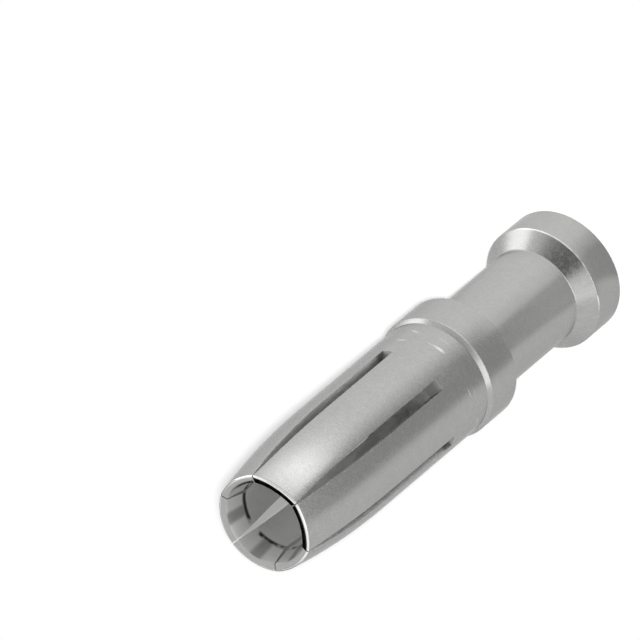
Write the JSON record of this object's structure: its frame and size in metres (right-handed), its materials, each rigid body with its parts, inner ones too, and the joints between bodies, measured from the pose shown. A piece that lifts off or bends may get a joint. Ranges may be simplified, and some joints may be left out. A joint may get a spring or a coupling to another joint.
{
  "type": "crimp socket contact",
  "caption": "Turned crimp socket contact: slotted tube with sprung fingers closed at the mouth, a seating collar, and a necked crimp barrel with a flared head.",
  "frame": {"origin": "centre of the rear face of the head, which the contact stands on", "axes": "+Z along the contact's axis, from the rear face to the mouth of the socket; a slot between two fingers faces -Y, and a finger is centred on +X"},
  "size_m": [0.0062, 0.0062, 0.0248],
  "materials": {
    "silver_plate": "satin silver plating on turned copper alloy"
  },
  "bodies": {
    "root": {"socket_contact": "silver_plate"}
  },
  "joints": []
}
